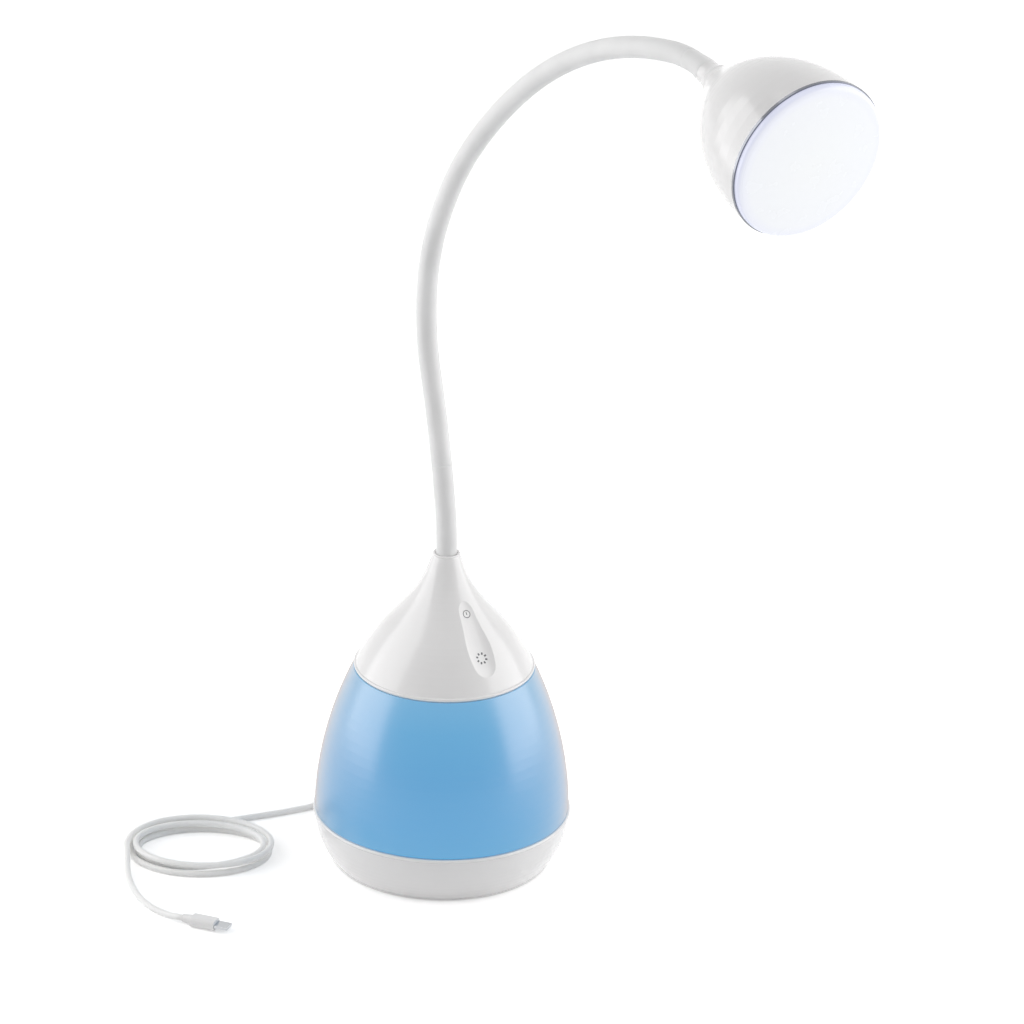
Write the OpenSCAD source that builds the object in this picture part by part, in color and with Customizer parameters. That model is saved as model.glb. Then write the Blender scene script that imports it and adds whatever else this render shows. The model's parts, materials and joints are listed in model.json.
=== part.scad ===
// Gooseneck desk lamp with a teardrop base: a lit colour band between a flared cover and
// a lower ring, touch controls in a groove, a bendable neck and a bell-shaped LED head,
// with a charging cable plugged in at the back. Millimetres. The front is -Y, up is +Z,
// and the origin is the centre of the base on the desk.

/* [Base housing] */
// Largest radius of the base, at the belt between the lit band and the lower ring
base_r = 60.5; // [58:0.5:64]
// Radius of the lower ring at the desk
foot_r = 52; // [50:0.5:54]
// Height of the belt
belt_z = 25.7; // [25:0.1:28]
// Height of the seam between the lit band and the cover
seam_z = 99; // [92:1:104]
// Radius of the cover where its flare turns from bulging to hollow
waist_r = 27.4; // [26:0.1:29]
// Height of that turning point
waist_z = 122.4; // [120:0.1:124]
// Slope of the cover there, from the vertical
waist_slope = 42.5; // [40:0.5:44]
// Outer radius of the mouth that the neck comes out of
mouth_r = 5.9; // [5.8:0.1:6.6]
// Height of the mouth
mouth_z = 157; // [155:1:164]
// Wall of the cover, the lit band and the lower ring
wall = 2.4; // [2.2:0.1:2.8]
// Gap that shows at the seams
seam_gap = 0.3; // [0.2:0.05:0.4]
// Height of the lips that locate one shell in the next
lip_h = 3; // [2.5:0.5:4]
// Rounding of the cover's lower edge and of the lower ring's upper edge
edge_r = 0.8; // [0.5:0.1:1]
// Rounding of both edges of the lit band
band_edge_r = 0.4; // [0.3:0.1:0.5]
// Thickness of the locating lips
lip_t = 1.4; // [1.2:0.1:1.8]
// Free space around a lip
lip_clear = 0.25; // [0.2:0.05:0.35]

/* [Touch controls] */
// Length of the straight part of the groove, along the slope
groove_len = 27; // [20:1:28]
// Depth of the groove below the cover's surface
groove_depth = 1.3; // [1:0.1:1.4]
// How much steeper than the slope the groove stands
groove_tilt = 4.5; // [4:0.5:5]
// Radius of the round tool that sweeps the groove
groove_tool_r = 22; // [18:1:26]
// Width of the circuit board behind the groove
touch_board_w = 9; // [8:0.5:10]
// Length of that board, along the slope
touch_board_l = 22; // [18:1:24]

/* [Foot and weight] */
// Thickness of the anti-slip pad
pad_t = 1.5; // [1.2:0.1:2]
// How far the pad stands below the lower ring
pad_stand = 0.7; // [0.5:0.1:0.9]
// Thickness of the bottom plate
plate_t = 2; // [1.8:0.1:2.4]
// Radius of the steel weight
weight_r = 40; // [38:0.5:41]
// Thickness of the steel weight
weight_t = 18; // [16:1:20]

/* [Rear ports] */
// Distance of each port from the centre line
port_x = 13; // [12.5:0.5:14]
// Height of the USB port's centre
usb_z = 11.7; // [11.5:0.1:12.5]
// Height of the power inlet's centre
inlet_z = 14.7; // [14.2:0.1:15.2]
// Radius of the entry hole in the wall for the power plug
inlet_hole_r = 4.2; // [4:0.1:4.6]
// Radius of the inlet's socket
inlet_bore_r = 2.85; // [2.8:0.05:3]
// Radius of the inlet's centre pin
inlet_pin_r = 1.05; // [1:0.05:1.25]
// Distance of the flat port panel from the lamp's axis
panel_y = 50; // [49.5:0.5:51]
// Thickness of the port panel
panel_t = 2.5; // [2.2:0.1:3]

/* [Neck] */
// Radius of the silicone sleeve
sleeve_r = 4.9; // [4.7:0.1:5.1]
// Wall of the silicone sleeve
sleeve_wall = 1.6; // [1.4:0.1:1.8]
// Bore of the wound steel core, where the wires run
core_bore_r = 1.5; // [1.4:0.1:1.7]
// Free space between sleeve and core
core_clear = 0.1; // [0.08:0.01:0.15]
// Free space at each ball joint
joint_clear = 0.35; // [0.3:0.05:0.45]
// Radius of one wire
wire_r = 0.55; // [0.5:0.05:0.6]

/* [Lamp head] */
// Radius of the head at its rim
rim_r = 36.6; // [35:0.2:39]
// Depth of the bell, from the collar to the rim
bell_depth = 66.8; // [64:0.2:70]
// Length of the collar behind the bell
collar_len = 7.5; // [7:0.5:9]
// Radius of the collar where the bell starts
collar_r = 7.2; // [7:0.1:7.6]
// Radius of the collar at the neck
collar_foot_r = 5.5; // [5.4:0.1:5.9]
// Wall of the bell
bell_wall = 1.8; // [1.6:0.1:2.2]
// Height of the bright trim ring
trim_h = 1.1; // [0.8:0.1:1.4]
// How far the lens stands out of the trim ring
lens_out = 3.6; // [3:0.1:4.2]
// Rise of the lens from its edge to its middle
lens_crown = 1.4; // [1:0.1:2]
// Wall of the lens
lens_wall = 1.8; // [1.6:0.1:2.2]
// Number of LEDs on the outer ring of the head's board
head_led_count = 16; // [12:1:18]

/* [Fasteners] */
// Radius of the threaded nipples at both ends of the neck
nipple_r = 3.9; // [3.8:0.1:4]
// Free space around the nipples
nipple_clear = 0.15; // [0.1:0.05:0.2]
// Width across the flats of the nuts
nut_flats = 10; // [9.6:0.1:10.2]
// Thickness of the nuts
nut_t = 4; // [3.5:0.5:4.5]
// Radius of the small screws' shanks
screw_r = 1.2; // [1.1:0.05:1.3]

/* [Charging cable] */
// Diameter of the cable
cable_d = 3; // [2.8:0.1:3.2]
// Number of turns in the loops
cable_turns = 3.25; // [3.25:1:5.25]
// Height from one layer of loops to the next
cable_layer = 3.7; // [3.6:0.1:4]

/* [Hidden] */
$fn = 72;

// Everyday gaps: two flat faces, and a piece beside its seat
touch_gap = 0.1;
seat_gap = 0.25;

// --- Curves -------------------------------------------------------------------------
// A profile curve is four [radius, height] points of a cubic Bezier that climbs, with
// the inside of the shell on its left.
function bez(p, t) =
    pow(1 - t, 3) * p[0] + 3 * pow(1 - t, 2) * t * p[1]
    + 3 * (1 - t) * t * t * p[2] + pow(t, 3) * p[3];
function bez_dir(p, t) =
    pow(1 - t, 2) * (p[1] - p[0]) + 2 * (1 - t) * t * (p[2] - p[1])
    + t * t * (p[3] - p[2]);
function inset(p, t, d) =
    let (v = bez_dir(p, t)) bez(p, t) + d * [-v[1], v[0]] / norm(v);
function t_at(p, z, lo = 0, hi = 1, n = 22) =
    let (m = (lo + hi) / 2)
    n == 0 ? m : bez(p, m)[1] < z ? t_at(p, z, m, hi, n - 1) : t_at(p, z, lo, m, n - 1);
function curve_pts(p, t0, t1, n, d = 0) =
    [for (i = [0:n]) inset(p, t0 + (t1 - t0) * i / n, d)];
function reversed(a) = [for (i = [len(a) - 1:-1:0]) a[i]];
function r_at(p, z, d = 0) = inset(p, t_at(p, z), d)[0];

// A shell of revolution that follows a curve between two depths below it
module strip(p, t0, t1, d0, d1, n) {
    rotate_extrude()
        polygon(concat(curve_pts(p, t0, t1, n, d0), reversed(curve_pts(p, t0, t1, n, d1))));
}

// The points of a rounded edge at t, on the side of the strip that lies up (1) or down (-1)
edge_steps = 5;
function edge_arc(p, t, r, side) =
    let (v = bez_dir(p, t) / norm(bez_dir(p, t)), m = [-v[1], v[0]])
    [
        for (i = [0:edge_steps])
            let (a = 90 * (side > 0 ? edge_steps - i : i) / edge_steps)
            bez(p, t) + side * r * (1 - sin(a)) * v + r * (1 - cos(a)) * m
    ];

// A strip from the surface inward, with its outer edges rounded; a radius of 0 leaves one sharp
module edged_strip(p, t0, t1, d, n, r0, r1) {
    middle = [for (i = [1:n - 1]) bez(p, t0 + (t1 - t0) * i / n)];
    rotate_extrude() polygon(concat(
        r0 > 0 ? edge_arc(p, t0, r0, 1) : [bez(p, t0)],
        middle,
        r1 > 0 ? edge_arc(p, t1, r1, -1) : [bez(p, t1)],
        reversed(curve_pts(p, t0, t1, n, d))));
}

ring_z = pad_t - pad_stand;
ring_curve = [
    [foot_r, ring_z],
    [foot_r + (base_r - foot_r) * 0.5, ring_z + (belt_z - ring_z) * 0.22],
    [base_r, belt_z - (belt_z - ring_z) * 0.45],
    [base_r, belt_z]
];
band_rise = waist_z - belt_z;
band_curve = [
    [base_r, belt_z],
    [base_r, belt_z + band_rise * 0.37],
    [waist_r + band_rise * 0.27 * sin(waist_slope),
     waist_z - band_rise * 0.27 * cos(waist_slope)],
    [waist_r, waist_z]
];
mouth_rise = mouth_z - waist_z;
mouth_curve = [
    [waist_r, waist_z],
    [waist_r - mouth_rise * 0.82 * sin(waist_slope),
     waist_z + mouth_rise * 0.82 * cos(waist_slope)],
    [mouth_r + 4.1, mouth_z - mouth_rise * 0.26],
    [mouth_r, mouth_z]
];
seam_t = t_at(band_curve, seam_z);

// --- Base: levels, from the desk up ---------------------------------------------------
plate_z = pad_t;
plate_top = plate_z + plate_t;
inside_z = plate_top + touch_gap;
plate_r = inset(ring_curve, 0, wall)[0] - seat_gap;
pad_r = foot_r - wall - 2.5;
boss_in = 7.5;
boss_ring_r = foot_r - boss_in;
boss_r = 3.2;
boss_h = 11;
boss_angles = [30, 150, 270];
web_t = 3;
web_drop = 20;
web_z = mouth_z - web_drop;
mouth_bore_r = sleeve_r + 0.2;
bead_r = 0.55;
column_in = 7;
column_out = 9.2;
column_top = web_z - touch_gap;
column_cap = 2.5;
flange_r = 13.2;
flange_t = 5;
flange_screw_r = 11.2;
deck_t = 2;
deck_z = belt_z + lip_h + touch_gap;
deck_r = r_at(band_curve, deck_z + deck_t / 2, wall) - seat_gap;

// The body's outside, filled to its axis, used to trim what grows out of the wall
module ring_fill() {
    rotate_extrude()
        polygon(concat([[0, ring_z]], curve_pts(ring_curve, 0, 1, 10), [[0, belt_z]]));
}

// A flat plate with round corners, its centre at the origin and its thickness upward
module slab(w, h, t, r) {
    linear_extrude(t) {
        square([w - 2 * r, h], center = true);
        square([w, h - 2 * r], center = true);
        for (x = [-1, 1], y = [-1, 1])
            translate([x * (w / 2 - r), y * (h / 2 - r)]) circle(r, $fn = 32);
    }
}

module ring_of(count, r, start = 0) {
    for (i = [0:count - 1]) rotate(start + i * 360 / count) translate([r, 0, 0]) children();
}

// --- Neck: a chain of arcs in the plane X = 0 -----------------------------------------
// The length and turn of each arc. A turn is in degrees, and a positive one bends forward.
// The first neck length holds the first two arcs, and each other length holds one.
neck_arcs = [
    [24, -9.5], [62, -7.5], [77, 39.5], [57, 18], [61, 11.5], [64, 15], [56, 14.5], [26, 21]
];
link_count = len(neck_arcs) - 1;

// A frame is [y, z, heading], with the heading measured from +Z towards the front
function arc_end(f, l, turn) =
    let (r = l / (turn * PI / 180), a = r * sin(turn), b = r * (1 - cos(turn)))
    [f[0] - a * sin(f[2]) - b * cos(f[2]), f[1] + a * cos(f[2]) - b * sin(f[2]), f[2] + turn];
function neck_frame(i) =
    i == 0 ? [0, mouth_z, 0] : arc_end(neck_frame(i - 1), neck_arcs[i - 1][0], neck_arcs[i - 1][1]);
function link_start(k) = k == 1 ? 0 : k;
neck_end = neck_frame(len(neck_arcs));

module at_frame(f) {
    translate([0, f[0], f[1]]) rotate([f[2], 0, 0]) children();
}

// One arc of tube from the origin, starting upward; ri = 0 makes it solid
module bend(l, turn, ro, ri = 0) {
    if (turn < 0) {
        mirror([0, 1, 0]) bend(l, -turn, ro, ri);
    } else {
        r = l / (turn * PI / 180);
        translate([0, -r, 0]) rotate([90, 0, 90]) rotate_extrude(angle = turn, $fn = 180)
            translate([r, 0]) difference() {
                circle(ro, $fn = 48);
                if (ri > 0) circle(ri, $fn = 32);
            }
    }
}

// Where two round stretches meet, one is this much slimmer and starts inside the other
splice = 0.03;
splice_len = 0.4;

// The arcs of one neck length, as a solid rod
module link_rod(k, r) {
    arc = neck_arcs[link_start(k)];
    at_frame(neck_frame(link_start(k))) bend(arc[0], arc[1], r);
    if (k == 1) {
        next = neck_arcs[1];
        extra = splice_len / next[0];
        at_frame(arc_end(neck_frame(1), -splice_len, -next[1] * extra))
            bend(next[0] + splice_len, next[1] * (1 + extra), r - splice);
    }
}

// A whole length: a straight start in the ball or the foot, the arcs, and the head's end
module link_run(k, r, start_h, end_h) {
    link_rod(k, r);
    at_frame(neck_frame(link_start(k))) translate([0, 0, -start_h])
        cylinder(r = r - splice, h = start_h + splice_len, $fn = 32);
    if (k == link_count && end_h > 0) at_frame(neck_end) translate([0, 0, -splice_len])
        cylinder(r = r - splice, h = end_h + splice_len, $fn = 32);
}

ball_r = sleeve_r - splice;
cup_r = sleeve_r + joint_clear;
sleeve_bore = sleeve_r - sleeve_wall;
core_r = sleeve_bore - core_clear;
ball_floor = sqrt(pow(ball_r, 2) - pow(sleeve_bore, 2)) - 0.1;
ferrule_collar = 6;
ferrule_z = web_z + web_t + touch_gap;
sleeve_foot = ferrule_z + ferrule_collar + touch_gap;
core_foot = ferrule_z + 1;

module ring_tube(h, ro, ri) {
    difference() {
        cylinder(r = ro, h = h);
        translate([0, 0, -1]) cylinder(r = ri, h = h + 2);
    }
}

// The round hollow that the next length's ball turns in
module cup(k) {
    if (k < link_count) at_frame(neck_frame(k + 1)) sphere(cup_r);
}

module sleeve(k) {
    foot = k == 1 ? mouth_z - sleeve_foot : 0;
    color("white") difference() {
        union() {
            link_run(k, sleeve_r, foot, 0);
            if (k > 1) at_frame(neck_frame(k)) sphere(ball_r);
        }
        link_run(k, sleeve_bore, k == 1 ? foot + 1 : sleeve_r + 1, 1);
        cup(k);
    }
}

module core(k) {
    start_h = k == 1 ? mouth_z - core_foot : ball_floor;
    color("silver") difference() {
        link_run(k, core_r, start_h, head_core_end);
        link_run(k, core_bore_r, start_h + 1, head_core_end + 1);
        cup(k);
    }
}

wire_x = wire_r + 0.1;
wire_low_z = usb_z;
wire_bend_r = 6;
wire_socket_y = 21.5;

// Two insulated wires; the first length's drop down the column and turn to the main board
module wires(k) {
    start_h = k == 1 ? mouth_z - wire_low_z - wire_bend_r + splice_len : ball_floor;
    color("firebrick") for (x = [-1, 1]) translate([x * wire_x, 0, 0]) {
        difference() {
            link_run(k, wire_r, start_h, head_wire_end);
            cup(k);
        }
        if (k == 1) {
            at_frame([wire_bend_r, wire_low_z, 90]) bend(wire_bend_r * PI / 2, -90, wire_r);
            translate([0, wire_socket_y, wire_low_z]) rotate([90, 0, 0])
                cylinder(r = wire_r - splice, h = wire_socket_y - wire_bend_r + splice_len, $fn = 24);
        }
    }
}

// --- Base pieces ------------------------------------------------------------------------
// The round tool, swept over the turning point of the flare
module groove_tool() {
    at_slope(groove_depth) rotate([groove_tilt, 0, 0])
        translate([0, groove_len / 2, groove_tool_r]) rotate([90, 0, 0]) {
            cylinder(r = groove_tool_r, h = groove_len, $fn = 120);
            sphere(groove_tool_r, $fn = 120);
            translate([0, 0, groove_len]) sphere(groove_tool_r, $fn = 120);
        }
}

touch_t = 1.2;
touch_inset = wall + 1.6;
touch_peg_in = touch_inset + touch_t + 0.8;
touch_peg_y = touch_board_l / 2 - 3;

// A frame on the slope behind the groove: z points out through the wall, y up the slope
module at_slope(d) {
    translate([0, -waist_r + d * cos(waist_slope), waist_z - d * sin(waist_slope)])
        rotate([90 - waist_slope, 0, 0]) children();
}

module cover() {
    color("white") difference() {
        union() {
            edged_strip(band_curve, seam_t, 1, wall, 8, edge_r, 0);
            strip(mouth_curve, 0, 1, 0, wall, 14);
            strip(band_curve, t_at(band_curve, seam_z - lip_h), t_at(band_curve, seam_z + 3),
                  wall + lip_clear, wall + lip_clear + lip_t, 4);
            strip(band_curve, t_at(band_curve, seam_z + 0.6), t_at(band_curve, seam_z + 3),
                  wall - 0.6, wall + lip_clear + lip_t, 2);
            translate([0, 0, web_z]) cylinder(r = r_at(mouth_curve, web_z + web_t) - 1, h = web_t);
            translate([0, 0, mouth_z - bead_r]) rotate_extrude() translate([mouth_r - 0.05, 0])
                circle(bead_r, $fn = 24);
            for (y = [-1, 1]) at_slope(touch_peg_in) translate([0, y * touch_peg_y, 0])
                cylinder(r = 0.9, h = touch_peg_in - wall + 0.4, $fn = 24);
        }
        translate([0, 0, web_z + web_t]) cylinder(r = mouth_bore_r, h = mouth_z);
        translate([0, 0, web_z - 1]) cylinder(r = nipple_r + nipple_clear, h = web_t + 2);
        groove_tool();
    }
}

module lit_band() {
    color("lightskyblue") edged_strip(band_curve, t_at(band_curve, belt_z + seam_gap),
        t_at(band_curve, seam_z - seam_gap), wall, 16, band_edge_r, band_edge_r);
}

usb_w = 13.2;
usb_h = 5.8;
usb_depth = 14;
panel_in = panel_y - panel_t;
panel_w = 54;
panel_wall = 2;
box_top = belt_z - 3;
box_bottom = inside_z + 0.5;

module lower_ring() {
    color("white") difference() {
        union() {
            edged_strip(ring_curve, 0, 1, wall, 10, 0, edge_r);
            strip(ring_curve, t_at(ring_curve, belt_z - 3), 1, wall - 0.6,
                  wall + lip_clear + lip_t, 3);
            strip(band_curve, 0, t_at(band_curve, belt_z + lip_h), wall + lip_clear,
                  wall + lip_clear + lip_t, 2);
            intersection() {
                ring_fill();
                union() {
                    for (a = boss_angles) rotate(a) translate([boss_ring_r, 0, inside_z]) {
                        cylinder(r = boss_r, h = boss_h);
                        translate([0, -1, 0]) cube([base_r, 2, boss_h]);
                    }
                    translate([-panel_w / 2, panel_in, box_bottom])
                        cube([panel_w, base_r, box_top - box_bottom]);
                }
            }
        }
        translate([0, base_r + 1, (box_top + box_bottom) / 2]) rotate([90, 0, 0])
            slab(panel_w - 2 * panel_wall, box_top - box_bottom - 2 * panel_wall,
                base_r + 1 - panel_y, 3);
        translate([port_x, panel_y + 1, usb_z]) rotate([90, 0, 0]) slab(12.8, 5.4, panel_t + 2, 0.6);
        translate([-port_x, panel_y + 1, inlet_z]) rotate([90, 0, 0])
            cylinder(r = inlet_hole_r, h = panel_t + 2);
        for (a = boss_angles) rotate(a) translate([boss_ring_r, 0, inside_z - 1])
            cylinder(r = screw_r + 0.05, h = boss_h - 1, $fn = 32);
    }
}

standoff_x = 22.5;
standoff_front = 22;
standoff_back = foot_r - 12;
standoff_xy = [for (y = [standoff_front, standoff_back], x = [-standoff_x, standoff_x]) [x, y]];
board_t = 1.6;
board_z = usb_z - usb_h / 2 - board_t - touch_gap;
standoff_h = board_z - touch_gap - plate_top;
column_screw_angles = [90, 210, 330];

module bottom_plate() {
    color("gainsboro") difference() {
        union() {
            translate([0, 0, plate_z]) cylinder(r = plate_r, h = plate_t, $fn = 120);
            for (p = standoff_xy) translate([p[0], p[1], plate_z + 1])
                cylinder(r = 2.4, h = plate_t - 1 + standoff_h, $fn = 32);
        }
        for (a = boss_angles) rotate(a) translate([boss_ring_r, 0, plate_z]) screw_seat();
        for (a = column_screw_angles) rotate(a) translate([flange_screw_r, 0, plate_z]) screw_seat();
        for (p = standoff_xy) translate([p[0], p[1], plate_z + 1]) cylinder(r = 1.05, h = 20, $fn = 32);
    }
}

module screw_seat() {
    translate([0, 0, -0.01]) cylinder(r1 = 2.4 * screw_r, r2 = screw_r + 0.15, h = 1.4, $fn = 32);
    cylinder(r = screw_r + 0.15, h = plate_t + 1, $fn = 32);
}

module foot_pad() {
    color("dimgray") cylinder(r = pad_r, h = pad_t - 0.05, $fn = 120);
}

module countersunk(l) {
    translate([0, 0, 0.1]) cylinder(r1 = 2.2 * screw_r, r2 = screw_r, h = 1.2, $fn = 32);
    translate([0, 0, 1]) cylinder(r = screw_r, h = l - 1, $fn = 32);
}

module base_screws() {
    color("silver") translate([0, 0, plate_z]) {
        for (a = boss_angles) rotate(a) translate([boss_ring_r, 0, 0]) countersunk(9);
        for (a = column_screw_angles) rotate(a) translate([flange_screw_r, 0, 0]) countersunk(5.5);
    }
}

weight_hole_r = flange_r + 0.5;
weight_back_y = 12;

module weight_plate() {
    color("slategray") difference() {
        translate([0, 0, inside_z]) cylinder(r = weight_r, h = weight_t, $fn = 120);
        translate([0, 0, inside_z - 1]) cylinder(r = weight_hole_r, h = weight_t + 2);
        translate([-base_r, weight_back_y, inside_z - 1]) cube([2 * base_r, base_r, weight_t + 2]);
        for (a = boss_angles) rotate(a) translate([boss_ring_r, 0, inside_z - 1])
            cylinder(r = boss_r + seat_gap, h = weight_t + 2);
    }
}

module column() {
    color("whitesmoke") difference() {
        translate([0, 0, inside_z]) union() {
            cylinder(r = flange_r, h = flange_t);
            cylinder(r = column_out, h = column_top - inside_z);
            translate([0, 0, flange_t - 0.01]) cylinder(r1 = flange_r - 0.6, r2 = column_out, h = 4);
        }
        translate([0, 0, inside_z - 1]) cylinder(r = column_in, h = column_top - column_cap - inside_z + 1);
        cylinder(r = nipple_r + nipple_clear, h = column_top + 1);
        translate([-2.5, 0, usb_z - 2.5]) cube([5, 20, 5]);
        for (a = column_screw_angles) rotate(a) translate([flange_screw_r, 0, inside_z - 1])
            cylinder(r = screw_r + 0.05, h = flange_t, $fn = 32);
    }
}

deck_hole_xy = [14, 27];

module light_deck() {
    color("white") difference() {
        union() {
            translate([0, 0, deck_z]) cylinder(r = deck_r, h = deck_t, $fn = 120);
            translate([0, 0, deck_z]) cylinder(r = column_out + 2.5, h = deck_t + 3);
        }
        translate([0, 0, deck_z - 1]) cylinder(r = column_out + seat_gap, h = deck_t + 5);
        translate([deck_hole_xy[0], deck_hole_xy[1], deck_z - 1]) cylinder(r = 3, h = deck_t + 2);
    }
}

band_board_z = deck_z + deck_t + touch_gap;
band_board_r = 34;
band_led_count = 12;

module band_board() {
    color("whitesmoke") translate([0, 0, band_board_z]) difference() {
        cylinder(r = band_board_r, h = 1.2, $fn = 96);
        translate([0, 0, -1]) cylinder(r = column_out + 4, h = 3.2);
        translate([deck_hole_xy[0], deck_hole_xy[1], -1]) cylinder(r = 1.4, h = 4, $fn = 32);
    }
}

module band_leds() {
    color("lightyellow") translate([0, 0, band_board_z + 1.2 + touch_gap])
        ring_of(band_led_count, band_board_r - 3.5, 15) translate([-2.5, -2.5, 0]) cube([5, 5, 1.5]);
}

board_y0 = 18;
board_y1 = panel_in - 2.5;
board_half = 26;

module main_board() {
    color("darkgreen") difference() {
        translate([-board_half, board_y0, board_z]) cube([2 * board_half, board_y1 - board_y0, board_t]);
        for (p = standoff_xy) translate([p[0], p[1], board_z - 1])
            cylinder(r = 1.4, h = board_t + 2, $fn = 32);
    }
}

module board_screws() {
    color("silver") for (p = standoff_xy) translate([p[0], p[1], board_z + board_t + touch_gap]) {
        cylinder(r = 2.1, h = 1.4, $fn = 32);
        translate([0, 0, -4.5]) cylinder(r = 1, h = 4.6, $fn = 32);
    }
}

// Wire socket, choke and two capacitors on the main board
module board_chips() {
    color("dimgray") translate([0, 0, board_z + board_t + touch_gap]) {
        translate([-3.5, wire_socket_y + touch_gap, 0]) cube([7, 5, 6]);
        translate([-6, 29.5, 0]) cube([12, 9, 1.6]);
        for (x = [-16.5, -9]) translate([x, 22, 0]) cylinder(r = 3.2, h = 8, $fn = 40);
        translate([deck_hole_xy[0] - 3.5, deck_hole_xy[1] - 2.5, 0]) cube([7, 5, 5]);
    }
}

module band_wires() {
    z0 = board_z + board_t + 2 * touch_gap + 5;
    color("firebrick") for (x = [-0.65, 0.65])
        translate([deck_hole_xy[0] + x, deck_hole_xy[1], z0])
            cylinder(r = wire_r, h = band_board_z + 0.8 - z0, $fn = 24);
}

module usb_socket() {
    color("silver") translate([port_x, panel_in - 0.2 - usb_depth, usb_z]) {
        difference() {
            translate([-usb_w / 2, 0, -usb_h / 2]) cube([usb_w, usb_depth, usb_h]);
            translate([-usb_w / 2 + 0.4, 1.5, -usb_h / 2 + 0.4]) cube([usb_w - 0.8, usb_depth, usb_h - 0.8]);
        }
        translate([-5.5, 1.4, 0.3]) cube([11, 11, 1.5]);
    }
}

inlet_depth = 13;
inlet_pin_l = 8.5;
pin_step = 0.25;

module power_inlet() {
    color([0.12, 0.12, 0.13]) difference() {
        union() {
            translate([-port_x - 4.5, panel_in - 0.2 - inlet_depth, board_z + board_t + touch_gap])
                cube([9, inlet_depth - 2.5, inlet_z + 4.2 - board_z - board_t - touch_gap]);
            translate([-port_x, panel_in - 0.2, inlet_z]) rotate([90, 0, 0])
                cylinder(r = 4.1, h = inlet_depth);
        }
        translate([-port_x, panel_in + 1, inlet_z]) rotate([90, 0, 0])
            cylinder(r = inlet_bore_r, h = inlet_depth - 1.5);
        translate([-port_x, panel_in, inlet_z]) rotate([90, 0, 0])
            cylinder(r = inlet_pin_r - pin_step + 0.02, h = inlet_depth - 0.6, $fn = 48);
    }
}

// The contact pin, which steps down to a shank held in the inlet's back wall
module inlet_pin() {
    color("silver") translate([-port_x, panel_in - 1, inlet_z]) rotate([90, 0, 0]) {
        cylinder(r = inlet_pin_r, h = inlet_pin_l, $fn = 48);
        cylinder(r = inlet_pin_r - pin_step, h = inlet_depth - 2, $fn = 48);
    }
}

module touch_board() {
    color("darkgreen") at_slope(touch_inset + touch_t) difference() {
        slab(touch_board_w, touch_board_l, touch_t, 1);
        for (y = [-1, 1]) translate([0, y * touch_peg_y, -1]) cylinder(r = 1.1, h = touch_t + 2, $fn = 24);
    }
}

// --- Neck ends ----------------------------------------------------------------------------
nut_r = nut_flats / 2 / cos(30);

// Threaded nipple with a collar that grips the core; the collar is towards the neck
module ferrule(grip_r, thread_len) {
    difference() {
        union() {
            cylinder(r = grip_r, h = ferrule_collar);
            translate([0, 0, -thread_len]) cylinder(r = nipple_r, h = thread_len + 0.01);
        }
        translate([0, 0, core_foot - ferrule_z - 0.05]) cylinder(r = core_r + 0.02, h = ferrule_collar);
        translate([0, 0, -thread_len - 1]) cylinder(r = core_bore_r, h = thread_len + 3);
    }
}

module washer_disc() {
    ring_tube(0.8, nut_r + 0.4, nipple_r + nipple_clear);
}

module nut() {
    difference() {
        cylinder(r = nut_r, h = nut_t, $fn = 6);
        translate([0, 0, -1]) cylinder(r = nipple_r + 0.05, h = nut_t + 2);
    }
}

base_thread = web_t + column_cap + 0.8 + nut_t + 2;
neck_clamp_z = column_top - column_cap - touch_gap;

module neck_ferrule() {
    color("silver") translate([0, 0, ferrule_z]) ferrule(sleeve_r, base_thread);
}

module neck_washer() {
    color("silver") translate([0, 0, neck_clamp_z - 0.8]) washer_disc();
}

module neck_nut() {
    color("silver") translate([0, 0, neck_clamp_z - 0.9 - nut_t]) nut();
}

// --- Head: built along its own axis, from the end of the neck -------------------------------
head_grip_r = 4.5;
head_entry = 1.5;
head_web_end = 12;
head_ferrule_z = head_entry + ferrule_collar;
head_core_end = head_entry + ferrule_collar - 1.1;
head_wire_end = head_ferrule_z + 14;
rim_z = collar_len + bell_depth;
bell_curve = [
    [collar_r, collar_len],
    [collar_r + 1.3, collar_len + bell_depth * 0.156],
    [rim_r - 0.3, collar_len + bell_depth * 0.337],
    [rim_r, rim_z]
];
collar_curve = [
    [collar_foot_r, touch_gap + 0.3],
    [collar_foot_r, collar_len * 0.4],
    [collar_r - 1.3, collar_len * 0.75],
    [collar_r, collar_len]
];
boss_head_r = 22;
heat_plate_drop = 14;
plate_head_z = rim_z - heat_plate_drop;

module at_head() {
    at_frame(neck_end) children();
}

module bell_fill() {
    rotate_extrude()
        polygon(concat([[0, collar_len]], curve_pts(bell_curve, 0, 1, 16), [[0, rim_z]]));
}

module head_shell() {
    color("white") at_head() difference() {
        union() {
            strip(bell_curve, 0, 1, 0, bell_wall, 20);
            rotate_extrude() polygon(concat(
                [[0, touch_gap], [collar_foot_r - 0.3, touch_gap], [collar_foot_r, touch_gap + 0.3]],
                curve_pts(collar_curve, 0.1, 1, 6), [[collar_r, head_web_end], [0, head_web_end]]
            ));
            intersection() {
                bell_fill();
                ring_of(3, boss_head_r, 90) cylinder(r = 2.8, h = plate_head_z - touch_gap);
            }
        }
        translate([0, 0, -1]) cylinder(r = head_grip_r + nipple_clear, h = head_ferrule_z + 1);
        cylinder(r = nipple_r + nipple_clear, h = head_web_end + 1);
        ring_of(3, boss_head_r, 90) translate([0, 0, plate_head_z - 8])
            cylinder(r = screw_r + 0.05, h = 9, $fn = 32);
    }
}

module head_ferrule() {
    color("silver") at_head() translate([0, 0, head_ferrule_z - touch_gap]) mirror([0, 0, 1])
        ferrule(head_grip_r, head_web_end - head_ferrule_z + 0.8 + nut_t + 2);
}

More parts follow.
